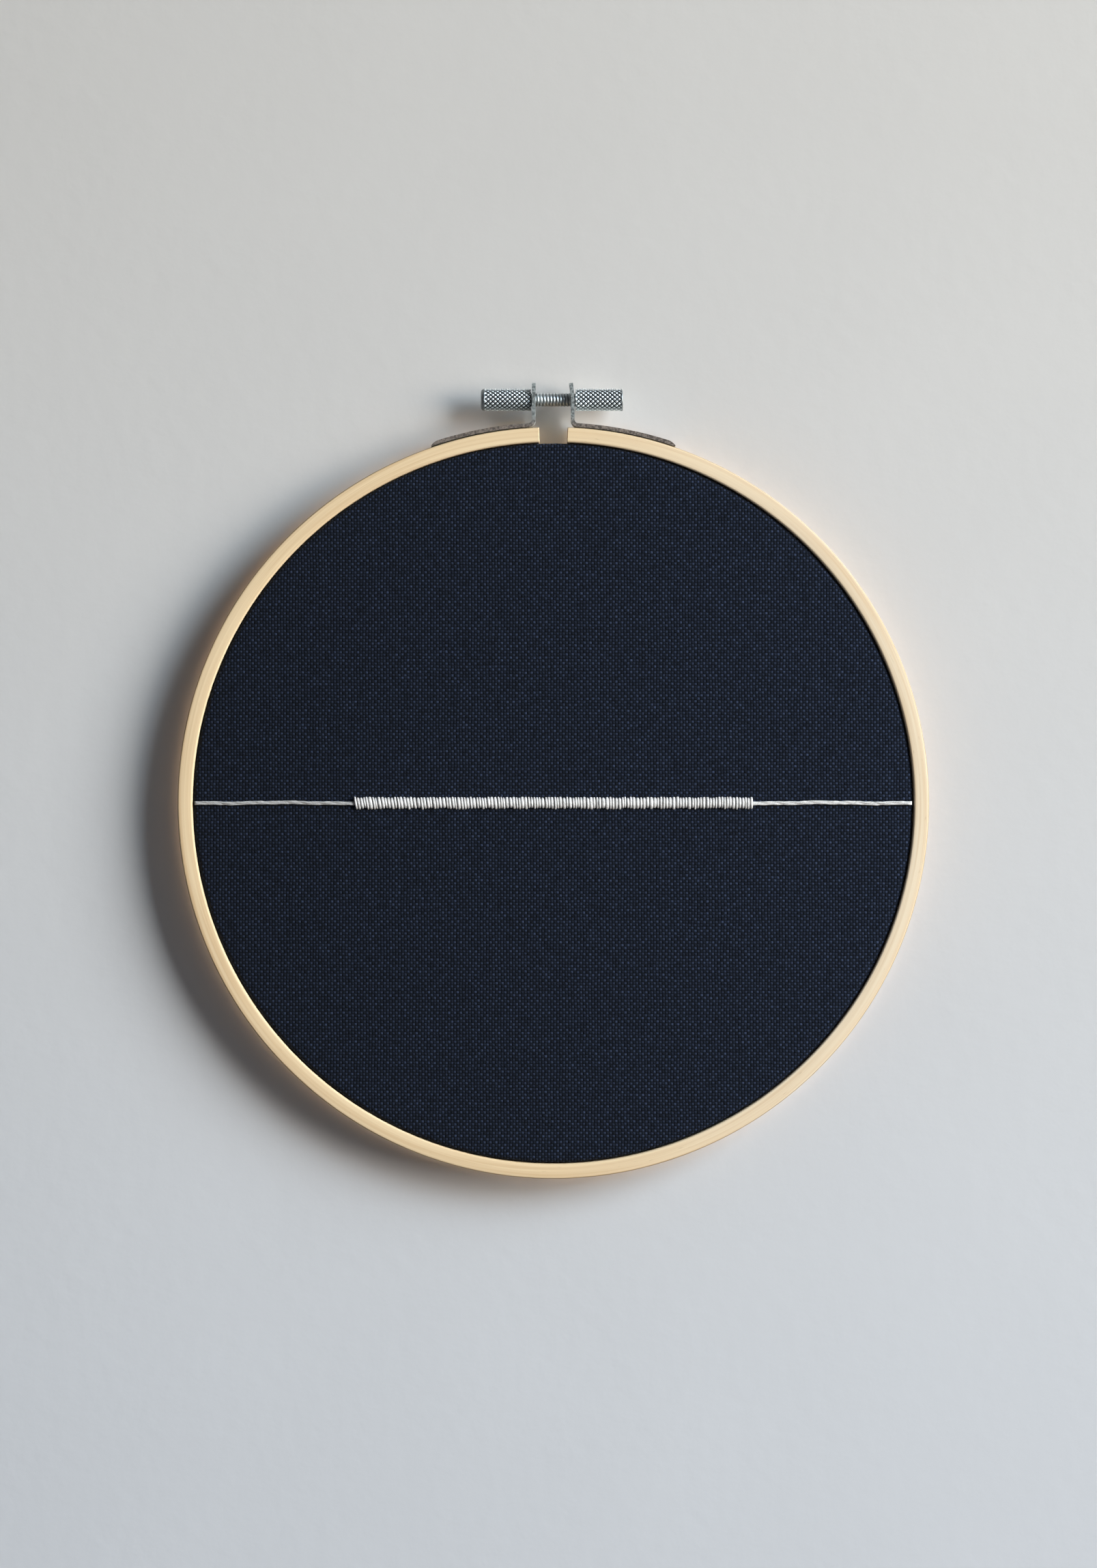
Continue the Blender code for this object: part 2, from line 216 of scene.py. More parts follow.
def add_piece(context, name, points, faces, look, slot, replaced=(), closed=True, sharp=None, **values):
    """Makes a mesh object that rides on the hoop. values are named numbers or vectors, one for each point."""
    mesh = bpy.data.meshes.new(name)
    mesh.from_pydata(points.reshape(-1, 3).tolist(), [], faces)
    if closed:
        shape = bmesh.new()
        shape.from_mesh(mesh)
        bmesh.ops.recalc_face_normals(shape, faces=shape.faces)
        shape.to_mesh(mesh)
        shape.free()
    for title, numbers in values.items():
        vector = numbers.ndim > 1 and numbers.shape[-1] == 3
        made = mesh.attributes.new(title, "FLOAT_VECTOR" if vector else "FLOAT", "POINT")
        made.data.foreach_set("vector" if vector else "value", numbers.ravel())
    mesh.shade_smooth()
    if sharp is not None:
        mesh.set_sharp_from_angle(angle=sharp)
    mesh.materials.append(look)
    piece = bpy.data.objects.new(name, mesh)
    context.scene.collection.objects.link(piece)
    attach(piece, BODY)
    if replaced:
        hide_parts(*replaced)
    return piece


def add_node(tree, kind, inputs=None, **settings):
    """Adds a node with its settings. inputs gives a socket's value, the socket that feeds it, or a whole node."""
    made = tree.nodes.new(kind)
    for name, value in settings.items():
        setattr(made, name, value)
    for socket, value in (inputs or {}).items():
        if isinstance(value, bpy.types.Node):
            value = value.outputs[0]
        if isinstance(value, bpy.types.NodeSocket):
            tree.links.new(value, made.inputs[socket])
        else:
            made.inputs[socket].default_value = value
    return made


def new_look(name):
    """A material with its tree, its Principled shader and the object's own coordinates."""
    look = bpy.data.materials.new(name)
    look.use_nodes = True
    tree = look.node_tree
    return look, tree, tree.nodes["Principled BSDF"], add_node(tree, "ShaderNodeTexCoord").outputs["Object"]


def opaque(rgb):
    """The colour as a colour socket takes it, with an alpha of 1."""
    return (*rgb, 1.0)


def mix_colours(tree, factor, low, high):
    """The result socket of a colour mix."""
    inputs = {"Factor": factor, 6: low, 7: high}
    return add_node(tree, "ShaderNodeMix", inputs, data_type="RGBA").outputs[2]


def beech(wood):
    """Sanded, unvarnished beech, bent with its grain along the ring: pale, with fine lines and short flecks."""
    look, tree, shader, place = new_look("sanded beech")
    centred = add_node(tree, "ShaderNodeMapping", {"Vector": place, "Location": (0, 0, -CENTRE_Z)})
    in_plane = add_node(tree, "ShaderNodeVectorMath", {0: centred, 1: (1, 0, 1)}, operation="MULTIPLY")
    radius = add_node(tree, "ShaderNodeVectorMath", {0: in_plane}, operation="LENGTH").outputs["Value"]

    def streaks(along, across, detail):
        """Noise drawn out along the ring, in a space of position and radius: sizes are in metres."""
        scaled = add_node(
            tree,
            "ShaderNodeVectorMath",
            {0: centred, 1: (1 / along, 1 / across, 1 / along)},
            operation="MULTIPLY",
        )
        depth = add_node(tree, "ShaderNodeMath", {0: radius, 1: 1 / across}, operation="MULTIPLY")
        inputs = {"Vector": scaled, "W": depth, "Scale": 1.0, "Detail": detail, "Roughness": 0.6}
        return add_node(tree, "ShaderNodeTexNoise", inputs, noise_dimensions="4D")

    # Growth lines lie about 0.5 mm apart; they are drawn at 0.75 mm so that they show
    lines = streaks(60 * MM, 0.75 * MM, 2.0)
    bands = streaks(70 * MM, 3.2 * MM, 2.0)
    flecks = streaks(2.6 * MM, 0.5 * MM, 1.0)
    lined = add_node(tree, "ShaderNodeMapRange", {"Value": lines, "From Min": 0.4, "From Max": 0.6})
    banded = add_node(tree, "ShaderNodeMapRange", {"Value": bands, "From Min": 0.3, "From Max": 0.65, "To Min": 0.25})
    flecked = add_node(tree, "ShaderNodeMapRange", {"Value": flecks, "From Min": 0.7, "From Max": 0.85, "To Max": 0.4})
    # The wood is a little darker towards the outer ring's outside, and the outside itself is drawn darker still:
    # painted shade, which also holds back the light it throws on the wall
    outer = {"Value": radius, "From Min": OUTER_HIGH.x - 2.2 * MM, "From Max": OUTER_HIGH.x - 0.6 * MM}
    aged = add_node(tree, "ShaderNodeMapRange", {**outer, "To Min": 0.08, "To Max": 0.24})
    last = {"Value": radius, "From Min": OUTER_HIGH.x - 0.3 * MM, "From Max": OUTER_HIGH.x - 0.1 * MM}
    outside = add_node(tree, "ShaderNodeMapRange", last)
    both = add_node(tree, "ShaderNodeMath", {0: lined, 1: banded}, operation="MULTIPLY")
    tone = add_node(tree, "ShaderNodeMath", {0: both, 1: 0.52, 2: aged}, operation="MULTIPLY_ADD")
    across = add_node(tree, "ShaderNodeSeparateXYZ", {0: place}).outputs["X"]
    # Painted light: the wood is drawn lighter towards the window's side, on the right
    right = add_node(tree, "ShaderNodeMapRange", {"Value": across, "From Min": 0.0, "From Max": 70 * MM})
    strip = mix_colours(tree, right.outputs[0], opaque(wood.pale), opaque(wood.painted_light_pale))
    grained = mix_colours(tree, tone, strip, opaque(wood.dark))
    shaded = mix_colours(tree, outside.outputs[0], grained, opaque(wood.outside))
    tree.links.new(mix_colours(tree, flecked, shaded, opaque(wood.fleck)), shader.inputs["Base Color"])
    bump = add_node(tree, "ShaderNodeBump", {"Height": lines, "Strength": 0.35, "Distance": 0.08 * MM})
    tree.links.new(bump.outputs[0], shader.inputs["Normal"])
    shader.inputs["Roughness"].default_value = 0.55
    shader.inputs["Specular IOR Level"].default_value = 0.35
    return look


def plain_linen(linen):
    """Plain-woven linen, dyed navy: single threads over and under, matt, with slubs along each thread."""
    look, tree, shader, _ = new_look("navy linen")
    cut = add_node(tree, "ShaderNodeAttribute", attribute_name="cut").outputs["Vector"]
    spaced = add_node(tree, "ShaderNodeVectorMath", {0: cut, "Scale": 1 / linen.spacing}, operation="SCALE")
    # Threads wander by a seventh of their spacing over about 12 mm
    wander = add_node(tree, "ShaderNodeTexNoise", {"Vector": cut, "Scale": 1 / (12 * MM), "Detail": 2.0})
    centred = add_node(
        tree, "ShaderNodeVectorMath", {0: wander.outputs["Color"], 1: (0.5, 0.5, 0.5)}, operation="SUBTRACT"
    )
    pushed = add_node(tree, "ShaderNodeVectorMath", {0: centred, "Scale": 0.9}, operation="SCALE")
    laid = add_node(tree, "ShaderNodeVectorMath", {0: spaced, 1: pushed}, operation="ADD")
    parts = add_node(tree, "ShaderNodeSeparateXYZ", {0: laid})
    waves, threads, tones = [], [], []
    for axis, stretch in ((0, (1.0, 0.25, 1.0)), (1, (0.25, 1.0, 1.0))):
        angle = add_node(tree, "ShaderNodeMath", {0: parts.outputs[axis], 1: math.pi}, operation="MULTIPLY")
        waves.append(add_node(tree, "ShaderNodeMath", {0: angle}, operation="SINE"))
        slub = add_node(tree, "ShaderNodeVectorMath", {0: laid, 1: stretch}, operation="MULTIPLY")
        tones.append(add_node(tree, "ShaderNodeTexNoise", {"Vector": slub, "Scale": 1.0, "Detail": 1.5}))
    crossing = add_node(tree, "ShaderNodeMath", {0: waves[0], 1: waves[1]}, operation="MULTIPLY")
    crown = add_node(tree, "ShaderNodeMath", {0: crossing}, operation="ABSOLUTE")
    height = add_node(tree, "ShaderNodeMath", {0: crown, 1: 0.6}, operation="POWER")
    warp_up = add_node(tree, "ShaderNodeMath", {0: crossing, 1: 0.0}, operation="GREATER_THAN")
    tone = add_node(tree, "ShaderNodeMix", {"Factor": warp_up, 2: tones[0], 3: tones[1]})
    level = add_node(tree, "ShaderNodeMapRange", {"Value": tone, "From Min": 0.3, "From Max": 0.7, "To Min": 0.35})
    cell = add_node(tree, "ShaderNodeVectorMath", {0: laid}, operation="FLOOR")
    crossed = add_node(tree, "ShaderNodeTexWhiteNoise", {"Vector": cell})
    each = add_node(tree, "ShaderNodeMapRange", {"Value": crossed, "To Min": 0.6})
    both = add_node(tree, "ShaderNodeMath", {0: level, 1: each}, operation="MULTIPLY")
    # Painted light: the warp's crowns are drawn brighter than the weft's, as the side light catches them more
    painted_warp_light = add_node(tree, "ShaderNodeMapRange", {"Value": warp_up, "To Min": 0.3})
    risen = add_node(tree, "ShaderNodeMath", {0: height, 1: painted_warp_light}, operation="MULTIPLY")
    lit = add_node(tree, "ShaderNodeMath", {0: risen, 1: both}, operation="MULTIPLY")
    # Painted shade: the cloth is drawn darkest down between the threads, with the weave's small gaps, and lightest on
    # the crowns
    shade = mix_colours(tree, lit, opaque(linen.between), opaque(linen.thread))
    # Painted light: the cloth is drawn darker on the left and brighter towards the window's side
    across = add_node(tree, "ShaderNodeSeparateXYZ", {0: cut}).outputs["X"]
    span = {"Value": across, "From Min": -LINEN_HIGH.x, "From Max": LINEN_HIGH.x}
    painted_window_side_light = add_node(tree, "ShaderNodeMapRange", {**span, "To Min": 0.8, "To Max": 1.16})
    dyed = add_node(tree, "ShaderNodeVectorMath", {0: shade, "Scale": painted_window_side_light.outputs[0]}, operation="SCALE")
    tree.links.new(dyed.outputs[0], shader.inputs["Base Color"])
    bump = add_node(tree, "ShaderNodeBump", {"Height": height, "Strength": 0.8, "Distance": 0.22 * MM})
    tree.links.new(bump.outputs[0], shader.inputs["Normal"])
    shader.inputs["Roughness"].default_value = 0.85
    shader.inputs["Specular IOR Level"].default_value = 0.12
    shader.inputs["Sheen Weight"].default_value = 0.02
    shader.inputs["Sheen Roughness"].default_value = 0.5
    return look


def stranded_cotton(stitches):
    """Stranded cotton, off-white and loosely twisted: soft, with fine fibres that wind along each strand."""
    look, tree, shader, _ = new_look("stranded cotton")
    lay = add_node(tree, "ShaderNodeAttribute", attribute_name="lay").outputs["Vector"]
    parts = add_node(tree, "ShaderNodeSeparateXYZ", {0: lay})
    # No light gets down between two strands, where the fibres are seen side on
    angle = add_node(tree, "ShaderNodeMath", {0: parts.outputs[1], 1: TURN}, operation="MULTIPLY")
    crown = add_node(tree, "ShaderNodeMath", {0: angle}, operation="SINE")
    facing = add_node(tree, "ShaderNodeMath", {0: crown}, operation="ABSOLUTE")
    open_up = add_node(tree, "ShaderNodeMapRange", {"Value": facing, "From Max": 0.7, "To Min": 0.36})
    # tone is each stitch's own tone, and painted shade at the thread line's left end
    tone = add_node(tree, "ShaderNodeAttribute", attribute_name="tone").outputs["Fac"]
    shown = add_node(tree, "ShaderNodeMath", {0: open_up, 1: tone}, operation="MULTIPLY")
    # The fibres wind once round a strand in 1.6 mm, and are drawn out over 4 mm
    winding = {0: parts.outputs[0], 1: 1 / (1.6 * MM), 2: parts.outputs[1]}
    wound = add_node(tree, "ShaderNodeMath", winding, operation="MULTIPLY_ADD")
    along = add_node(tree, "ShaderNodeMath", {0: parts.outputs[0], 1: 1 / (4 * MM)}, operation="MULTIPLY")
    joined = add_node(tree, "ShaderNodeCombineXYZ", {"X": along, "Y": wound, "Z": parts.outputs[2]})
    fibres = add_node(tree, "ShaderNodeTexNoise", {"Vector": joined, "Scale": 5.0, "Detail": 2.0})
    level = add_node(tree, "ShaderNodeMapRange", {"Value": fibres, "From Min": 0.3, "From Max": 0.62})
    fibred = mix_colours(tree, level, opaque(stitches.shade), opaque(stitches.pale))
    dimmed = add_node(tree, "ShaderNodeVectorMath", {0: fibred, "Scale": shown.outputs[0]}, operation="SCALE")
    tree.links.new(dimmed.outputs[0], shader.inputs["Base Color"])
    bump = add_node(tree, "ShaderNodeBump", {"Height": fibres, "Strength": 0.5, "Distance": 0.08 * MM})
    tree.links.new(bump.outputs[0], shader.inputs["Normal"])
    shader.inputs["Roughness"].default_value = 0.6
    shader.inputs["Sheen Weight"].default_value = 0.15
    return look


def galvanised_strip(clamp):
    """Sheared galvanised strip: dull grey and smooth, with torn, grainy edges that are stained along the wood."""
    look, tree, shader, place = new_look("galvanised strip")
    grit = add_node(tree, "ShaderNodeTexNoise", {"Vector": place, "Scale": 1 / (0.55 * MM), "Detail": 2.0})
    height = add_node(tree, "ShaderNodeSeparateXYZ", {0: place}).outputs["Z"]
    # The stain starts below the ear, 4.5 mm under the screw's axis, and is full 3 mm lower
    bend = CENTRE_Z + AXIS_UP - 4.5 * MM
    low = add_node(tree, "ShaderNodeMapRange", {"Value": height, "From Min": bend, "From Max": bend - 3 * MM})
    facing = add_node(tree, "ShaderNodeSeparateXYZ", {0: place.node.outputs["Normal"]}).outputs["Y"]
    flat = add_node(tree, "ShaderNodeMath", {0: facing}, operation="ABSOLUTE")
    torn = add_node(tree, "ShaderNodeMapRange", {"Value": flat, "From Min": 0.4, "From Max": 0.8})
    least = add_node(tree, "ShaderNodeMapRange", {"Value": torn, "To Min": 0.85, "To Max": 0.35})
    grain = {"Value": grit, "From Min": 0.38, "From Max": 0.62, "To Min": least}
    speckle = add_node(tree, "ShaderNodeMapRange", grain)
    stained = add_node(tree, "ShaderNodeMath", {0: low, 1: torn}, operation="MULTIPLY")
    base = mix_colours(tree, stained, opaque(clamp.steel), opaque(clamp.stain))
    dulled = add_node(tree, "ShaderNodeVectorMath", {0: base, "Scale": speckle.outputs[0]}, operation="SCALE")
    tree.links.new(dulled.outputs[0], shader.inputs["Base Color"])
    bump = add_node(tree, "ShaderNodeBump", {"Height": grit, "Strength": 0.6, "Distance": 0.12 * MM})
    tree.links.new(bump.outputs[0], shader.inputs["Normal"])
    shader.inputs["Metallic"].default_value = 0.3
    shader.inputs["Roughness"].default_value = 0.5
    return look


def bright_zinc(clamp):
    """Zinc-plated, rolled steel: bright on the crests, and darker down in the grooves, as painted shade with some
    dulled zinc.
    """
    look, tree, shader, place = new_look("bright zinc plate")
    crest = add_node(tree, "ShaderNodeAttribute", attribute_name="crest").outputs["Fac"]
    smudge = add_node(tree, "ShaderNodeTexNoise", {"Vector": place, "Scale": 1 / (1.5 * MM), "Detail": 2.0})
    raised = add_node(tree, "ShaderNodeMapRange", {"Value": crest, "From Min": 0.26, "From Max": 0.6})
    plated = mix_colours(tree, raised, opaque(clamp.groove_shade), opaque(clamp.zinc))
    tree.links.new(plated, shader.inputs["Base Color"])
    rough = add_node(tree, "ShaderNodeMapRange", {"Value": smudge, "To Min": 0.36, "To Max": 0.52})
    tree.links.new(rough.outputs[0], shader.inputs["Roughness"])
    shader.inputs["Metallic"].default_value = 1.0
    return look


def wood_glow_painted_shade(tree, centred):
    """How much painted shade the wall gets where the pale wood's light falls on it: it dies away from the hoop, and is
    most by the window.
    """
    away = add_node(tree, "ShaderNodeVectorMath", {0: centred}, operation="LENGTH").outputs["Value"]
    fall = {0: away, 1: -1 / GLOW_REACH, 2: OUTER_HIGH.x / GLOW_REACH}
    falling = add_node(tree, "ShaderNodeMath", fall, operation="MULTIPLY_ADD")
    near = add_node(tree, "ShaderNodeMath", {0: falling}, operation="EXPONENT")
    facing = add_node(tree, "ShaderNodeVectorMath", {0: centred}, operation="NORMALIZE")
    toward = add_node(tree, "ShaderNodeVectorMath", {0: facing, 1: TO_WINDOW}, operation="DOT_PRODUCT")
    span = {"Value": toward.outputs["Value"], "From Min": 0.1, "From Max": 0.75}
    side = add_node(tree, "ShaderNodeMapRange", span, interpolation_type="SMOOTHSTEP")
    return add_node(tree, "ShaderNodeMath", {0: near, 1: side}, operation="MULTIPLY", use_clamp=True)


def clamp_shadow_painted_light(tree, centred):
    """Where the wall gets painted light, lighter and cooler, in the clamp's shadow: a soft ellipse round the split,
    wider than it is tall.
    """
    flatten = 2.4
    tall = add_node(tree, "ShaderNodeVectorMath", {0: centred, 1: (1, 0, flatten)}, operation="MULTIPLY")
    middle = (-5 * MM, 0, flatten * OUTER_HIGH.x)
    away = add_node(tree, "ShaderNodeVectorMath", {0: tall, 1: middle}, operation="DISTANCE").outputs["Value"]
    span = {"Value": away, "From Min": 20 * MM, "From Max": 6 * MM}
    return add_node(tree, "ShaderNodeMapRange", span, interpolation_type="SMOOTHSTEP")


def plastered_wall(stage):
    """Rolled emulsion on plaster: matt, with a fine orange-peel, and painted light: warmer higher up. Only the room's
    side shows.
    """
    look, tree, shader, place = new_look("painted plaster")
    peel = add_node(tree, "ShaderNodeTexNoise", {"Vector": place, "Scale": 1 / (5 * MM), "Detail": 3.0})
    patch = add_node(tree, "ShaderNodeTexNoise", {"Vector": place, "Scale": 1 / (60 * MM), "Detail": 2.0})
    level = add_node(tree, "ShaderNodeMapRange", {"Value": patch, "To Min": 0.975, "To Max": 1.02})
    # Painted light: the paint goes from cooler low down to warmer high up, as the room's light falls on the wall
    height = add_node(tree, "ShaderNodeSeparateXYZ", {0: place}).outputs["Z"]
    half = 0.25
    span = {"Value": height, "From Min": CENTRE_Z - half, "From Max": CENTRE_Z + half}
    rise = add_node(tree, "ShaderNodeMapRange", span, interpolation_type="SMOOTHSTEP")
    painted_light_wash = mix_colours(tree, rise, opaque(stage.lower_wall_painted_light), opaque(stage.wall))
    paint = add_node(tree, "ShaderNodeVectorMath", {0: painted_light_wash, "Scale": level.outputs[0]}, operation="SCALE")
    centred = add_node(tree, "ShaderNodeVectorMath", {0: place, 1: (0, 0, CENTRE_Z)}, operation="SUBTRACT")
    # Painted shade by the hoop's lit side, where the wood's light falls on the wall, and painted light, lighter and
    # cooler, in the clamp's shadow
    for amount, tint in (
        (wood_glow_painted_shade(tree, centred), GLOW_PAINTED_SHADE_TINT),
        (clamp_shadow_painted_light(tree, centred), CLAMP_SHADOW_PAINTED_LIGHT_TINT),
    ):
        painted_light_tint = mix_colours(tree, amount, opaque((1, 1, 1)), opaque(tint))
        paint = add_node(tree, "ShaderNodeVectorMath", {0: paint, 1: painted_light_tint}, operation="MULTIPLY")
    tree.links.new(paint.outputs[0], shader.inputs["Base Color"])
    bump = add_node(tree, "ShaderNodeBump", {"Height": peel, "Strength": 0.25, "Distance": 0.35 * MM})
    tree.links.new(bump.outputs[0], shader.inputs["Normal"])
    shader.inputs["Roughness"].default_value = 0.9
    behind = add_node(tree, "ShaderNodeNewGeometry").outputs["Backfacing"]
    clear = add_node(tree, "ShaderNodeBsdfTransparent")
    seen = add_node(tree, "ShaderNodeMixShader", {0: behind, 1: shader, 2: clear})
    tree.links.new(seen.outputs[0], tree.nodes["Material Output"].inputs["Surface"])
    return look


def plain_floor(stage):
    """Sealed concrete: pale, even and matt."""
    look, tree, shader, place = new_look("sealed floor")
    cloud = add_node(tree, "ShaderNodeTexNoise", {"Vector": place, "Scale": 3.0, "Detail": 3.0})
    level = add_node(tree, "ShaderNodeMapRange", {"Value": cloud, "To Min": 0.97, "To Max": 1.03})
    tinted = add_node(
        tree, "ShaderNodeVectorMath", {0: tuple(stage.floor), "Scale": level.outputs[0]}, operation="SCALE"
    )
    tree.links.new(tinted.outputs[0], shader.inputs["Base Color"])
    # It has its own even light, none of which reaches the wall or the hoop
    straight = add_node(tree, "ShaderNodeLightPath").outputs["Is Camera Ray"]
    own = add_node(tree, "ShaderNodeMath", {0: straight, 1: 0.85}, operation="MULTIPLY")
    tree.links.new(tinted.outputs[0], shader.inputs["Emission Color"])
    tree.links.new(own.outputs[0], shader.inputs["Emission Strength"])
    shader.inputs["Roughness"].default_value = 0.8
    return look


def ring_section(bore, radius, back, front, wood, inset=0.0):
    """A rectangle with quarter-circle corners, as radius and out, drawn in on all sides by inset."""
    turn = np.linspace(0, TURN / 4, 6)
    starts = np.array([-1, 0, 1, 2])[:, None] * TURN / 4
    edge = np.array([wood.outer_edge, wood.outer_edge, wood.edge, wood.edge])[:, None] - inset / 2
    to_side = np.array([1, 1, -1, -1])[:, None]
    to_front = np.array([-1, 1, 1, -1])[:, None]
    side = np.where(to_side > 0, radius, bore)
    face = np.where(to_front > 0, front, back)
    return (
        (side - to_side * (inset + edge) + edge * np.cos(starts + turn)).ravel(),
        (face - to_front * (inset + edge) + edge * np.sin(starts + turn)).ravel(),
    )


def bent_ring(sections, angles):
    """A tube whose sections, as radius and out, stand at angles from the top, clockwise as the viewer sees it."""
    r, out = np.array([s[0] for s in sections]), np.array([s[1] for s in sections])
    at = np.asarray(angles)[:, None]
    return stand(r * np.sin(at), r * np.cos(at), out)[None]


class HOOP_OT_rings(bpy.types.Operator):
    """Bend the two wooden rings, and saw the outer one through at the top"""

    bl_idname = "hoop.rings"
    bl_label = "Wooden Rings"

    def execute(self, context):
        wood = context.scene.hoop_wood
        look = beech(wood)
        radius, back, front = OUTER_HIGH.x, -OUTER_HIGH.y, -OUTER_LOW.y
        bore = radius - wood.wall
        half_split = math.asin(wood.split / 2 / (radius - wood.wall / 2))
        eased = wood.cut_edge / radius
        around = 480
        sawn = np.linspace(half_split + eased, TURN - half_split - eased, around)
        angles = np.concatenate([[half_split], sawn, [TURN - half_split]])
        whole = ring_section(bore, radius, back, front, wood)
        drawn_in = ring_section(bore, radius, back, front, wood, wood.cut_edge)
        sections = [drawn_in] + [whole] * (len(angles) - 2) + [drawn_in]
        points = bent_ring(sections, angles)
        faces = tube_faces(1, len(angles), len(whole[0]))
        corner = math.radians(35)
        add_piece(context, "outer_ring_wood", points, faces, look, "wood", ["outer_ring"], sharp=corner)

        radius, back, front = INNER_HIGH.x, -INNER_HIGH.y, -INNER_LOW.y
        whole = ring_section(radius - wood.wall, radius, back, front, wood)
        angles = np.arange(around) * TURN / around
        points = bent_ring([whole] * len(angles), angles)
        faces = tube_faces(1, len(angles), len(whole[0]), loop=True)
        add_piece(context, "inner_ring_wood", points, faces, look, "wood", ["inner_ring"])
        return {"FINISHED"}


class HOOP_OT_linen(bpy.types.Operator):
    """Stretch the linen over the inner ring and turn it down between the rings"""

    bl_idname = "hoop.linen"
    bl_label = "Linen"

    def execute(self, context):
        """The section runs from the middle to the turn, a quarter circle over it, and straight down to the cut."""
        linen = context.scene.hoop_linen
        rim, tail = LINEN_HIGH.x, -LINEN_HIGH.y
        turn = rim - linen.shoulder
        bend = np.linspace(0, TURN / 4, 9)[1:]
        flat = np.linspace(0, turn, 42)[1:]
        down = np.linspace(LINEN_FRONT - linen.shoulder, tail, 8)[1:]
        r = np.concatenate([flat, turn + linen.shoulder * np.sin(bend), np.full(len(down), rim)])
        out = np.concatenate(
            [np.full(len(flat), LINEN_FRONT), LINEN_FRONT - linen.shoulder * (1 - np.cos(bend)), down]
        )
        run = np.cumsum(np.hypot(np.diff(r, prepend=0), np.diff(out, prepend=LINEN_FRONT)))
        around = 240
        angles = np.arange(around) * TURN / around
        sine, cosine = np.sin(angles), np.cos(angles)
        points = stand(r[:, None] * sine, r[:, None] * cosine, out[:, None])
        cut = np.stack([run[:, None] * sine, run[:, None] * cosine, np.zeros((len(run), around))], -1)
        points = np.concatenate([stand(0, 0, LINEN_FRONT).reshape(1, 3), points.reshape(-1, 3)])
        cut = np.concatenate([np.zeros((1, 3)), cut.reshape(-1, 3)])
        i, j = np.meshgrid(np.arange(len(r) - 1) * around, np.arange(around), indexing="ij")
        beside = (j + 1) % around
        quads = 1 + np.stack([i + j, i + beside, i + around + beside, i + around + j], -1)
        middle = np.stack([np.zeros(around, int), 1 + beside[0], 1 + j[0]], -1)
        faces = middle.tolist() + quads.reshape(-1, 4).tolist()
        look = plain_linen(linen)
        piece = add_piece(context, "stretched_linen", points, faces, look, "linen", ["linen"], closed=False, cut=cut)
        wall = piece.modifiers.new("cloth", "SOLIDIFY")
        wall.thickness = linen.thickness
        wall.offset = -1
        return {"FINISHED"}


def strand_tubes(path, across_x, across_path, normal, around=8):
    """Tubes with an elliptical section along paths that stay in planes of constant x, and how each strand lies.

    path is by strand and station. The section is half as wide as across_x along x, and across_path along the normal.
    """
    angle = np.arange(around) * TURN / around
    side = np.array([1.0, 0.0, 0.0])
    points = (
        path[:, :, None]
        + (across_x[..., None] * np.cos(angle))[..., None] * side
        + (across_path[..., None] * np.sin(angle))[..., None] * normal[:, :, None]
    )
    steps = np.linalg.norm(np.diff(path, axis=1, prepend=path[:, :1]), axis=-1)
    along = np.cumsum(steps, axis=1)[..., None] + np.zeros(around)
    turn = np.broadcast_to(angle / TURN, along.shape)
    which = np.broadcast_to(np.arange(len(path))[:, None, None] * 1.7, along.shape)
    return points, np.stack([along, turn, which], axis=-1)


def satin_row(stitches, rng, low, high, floor, rise):
    """Satin stitches side by side over a bar: half an ellipse from edge to edge, whose ends go into the cloth.

    low and high are the bar's box. rise is how far out the stitches stand from floor, less than 0 on the back.
    """
    count = stitches.count
    widths = rng.uniform(1 - stitches.uneven, 1 + stitches.uneven, count)
    widths *= (high.x - low.x) / widths.sum()
    x = low.x + np.cumsum(widths) - widths / 2
    thick = 0.28 * MM
    reach = (high.z - low.z) / 2 - thick
    top = reach + rng.uniform(-0.7, 0.5, count) * stitches.ragged
    bottom = reach + rng.uniform(-0.9, 0.8, count) * stitches.ragged
    # A stitch runs a little past half a turn, so that both its ends dip into the cloth
    turn = np.radians(np.linspace(-14, 194, 9))
    across = np.where(np.cos(turn) > 0, top[:, None], bottom[:, None])
    up = across * np.cos(turn)
    facing = math.copysign(1, rise)
    swell = rng.uniform(0.84, 1.0, count)[:, None]
    out = floor + facing * (abs(rise) - thick) * swell * np.sin(turn)
    # Stitches lean to the right at the bar's left end and stand straight at its right end, and each bows a little
    leaning = stitches.lean * np.clip((high.x - x) / (high.x - low.x) * 1.3 - 0.3, 0, 1)
    leaning += rng.normal(0, 0.03 * MM, count)
    bow = rng.normal(0, 0.04 * MM, count)
    shift = leaning[:, None] * (0.5 - up / reach / 2) + bow[:, None] * np.sin(turn)
    path = stand(x[:, None] + shift, up + (low.z + high.z) / 2 - CENTRE_Z, out)
    still = np.zeros_like(up)
    normal = np.stack([still, still - facing * np.sin(turn), still + np.cos(turn)], axis=-1)
    # A stitch is fullest in its middle, and narrows where it enters the cloth
    wide = (widths / 2 * rng.uniform(0.9, 1.04, count))[:, None] * (0.72 + 0.28 * np.sin(np.clip(turn, 0, math.pi)))
    return strand_tubes(path, wide, np.full_like(wide, thick), normal)


